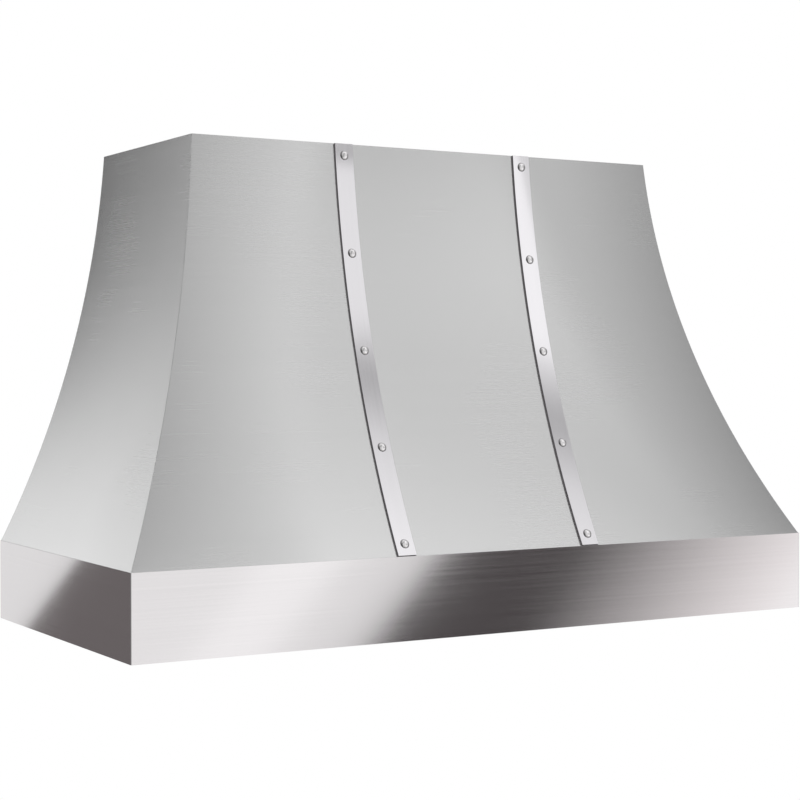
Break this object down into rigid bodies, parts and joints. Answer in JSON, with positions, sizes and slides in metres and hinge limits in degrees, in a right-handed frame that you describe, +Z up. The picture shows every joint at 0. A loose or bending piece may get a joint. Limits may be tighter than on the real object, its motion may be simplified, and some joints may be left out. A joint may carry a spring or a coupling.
{
  "type": "wall mount range hood",
  "caption": "Flared stainless wall range hood with riveted straps, a polished band, tilting baffle filters, lamps, two knobs, a blower and a damper in its duct collar.",
  "frame": {"origin": "middle of the bottom edge, on the wall plane", "axes": "+Z up, +Y into the wall (the front faces -Y), +X to the right of someone who faces the hood"},
  "size_m": [1.2192, 0.561, 0.762],
  "materials": {
    "brushed_stainless": "horizontal brushed grain, satin",
    "polished_stainless": "polished",
    "liner_stainless": "satin",
    "filter_stainless": "satin",
    "galvanised_steel": "galvanised, dull",
    "lamp_glass": "frosted",
    "lamp_aluminium": "die cast, satin",
    "knob_metal": "satin plated",
    "turned_steel": "turned",
    "switch_plastic": "moulded, matt",
    "motor_paint": "black enamel"
  },
  "bodies": {
    "hood": {"canopy_front_panel": "brushed_stainless", "canopy_left_panel": "brushed_stainless", "canopy_right_panel": "brushed_stainless", "apron_band": "polished_stainless", "strap_left": "polished_stainless", "strap_right": "polished_stainless", "strap_rivets_left": "polished_stainless", "strap_rivets_right": "polished_stainless", "back_panel": "galvanised_steel", "roof_panel": "galvanised_steel", "upper_wall_rail": "galvanised_steel", "lower_wall_rail": "galvanised_steel", "duct_collar": "galvanised_steel", "collar_rivets": "galvanised_steel", "damper_pin": "galvanised_steel", "blower_housing": "galvanised_steel", "inlet_ring_left": "galvanised_steel", "inlet_ring_right": "galvanised_steel", "motor_bracket": "galvanised_steel", "outlet_transition": "galvanised_steel", "junction_box": "galvanised_steel", "junction_box_cover": "galvanised_steel", "liner_pan": "liner_stainless", "grease_trough": "liner_stainless", "filter_clips": "liner_stainless", "lamp_left_bezel": "polished_stainless", "lamp_left_lens": "lamp_glass", "lamp_left_housing": "lamp_aluminium", "lamp_centre_bezel": "polished_stainless", "lamp_centre_lens": "lamp_glass", "lamp_centre_housing": "lamp_aluminium", "lamp_right_bezel": "polished_stainless", "lamp_right_lens": "lamp_glass", "lamp_right_housing": "lamp_aluminium", "fan_switch": "switch_plastic", "light_dimmer": "switch_plastic", "motor": "motor_paint"},
    "filter_left": {"filter_left_frame": "filter_stainless", "filter_left_baffles": "filter_stainless", "filter_left_handles": "filter_stainless"},
    "filter_centre": {"filter_centre_frame": "filter_stainless", "filter_centre_baffles": "filter_stainless", "filter_centre_handles": "filter_stainless"},
    "filter_right": {"filter_right_frame": "filter_stainless", "filter_right_baffles": "filter_stainless", "filter_right_handles": "filter_stainless"},
    "impeller": {"impeller": "galvanised_steel", "motor_shaft": "turned_steel"},
    "damper_front": {"damper_flap_front": "galvanised_steel"},
    "damper_rear": {"damper_flap_rear": "galvanised_steel"},
    "fan_knob": {"fan_knob": "knob_metal", "fan_spindle": "turned_steel"},
    "light_knob": {"light_knob": "knob_metal", "light_spindle": "turned_steel"}
  },
  "joints": [
    {"name": "filter_left_tilt", "type": "hinge", "parent": "hood", "child": "filter_left", "pos_m": [0, -0.075, 0.034], "axis": [1, 0, 0], "range_deg": [0, 60]},
    {"name": "filter_centre_tilt", "type": "hinge", "parent": "hood", "child": "filter_centre", "pos_m": [0, -0.075, 0.034], "axis": [1, 0, 0], "range_deg": [0, 60]},
    {"name": "filter_right_tilt", "type": "hinge", "parent": "hood", "child": "filter_right", "pos_m": [0, -0.075, 0.034], "axis": [1, 0, 0], "range_deg": [0, 60]},
    {"name": "impeller_spin", "type": "hinge", "parent": "hood", "child": "impeller", "pos_m": [0, -0.2585, 0.507], "axis": [1, 0, 0], "continuous": true},
    {"name": "damper_front_swing", "type": "hinge", "parent": "hood", "child": "damper_front", "pos_m": [0, -0.1795, 0.7332], "axis": [-1, 0, 0], "range_deg": [0, 75]},
    {"name": "damper_rear_swing", "type": "hinge", "parent": "hood", "child": "damper_rear", "pos_m": [0, -0.1795, 0.7332], "axis": [1, 0, 0], "range_deg": [0, 75]},
    {"name": "fan_knob_turn", "type": "hinge", "parent": "hood", "child": "fan_knob", "pos_m": [0.253, -0.5036, 0.024], "axis": [0, 0, -1], "range_deg": [0, 270]},
    {"name": "light_knob_turn", "type": "hinge", "parent": "hood", "child": "light_knob", "pos_m": [0.177, -0.5036, 0.024], "axis": [0, 0, -1], "range_deg": [0, 270]}
  ]
}
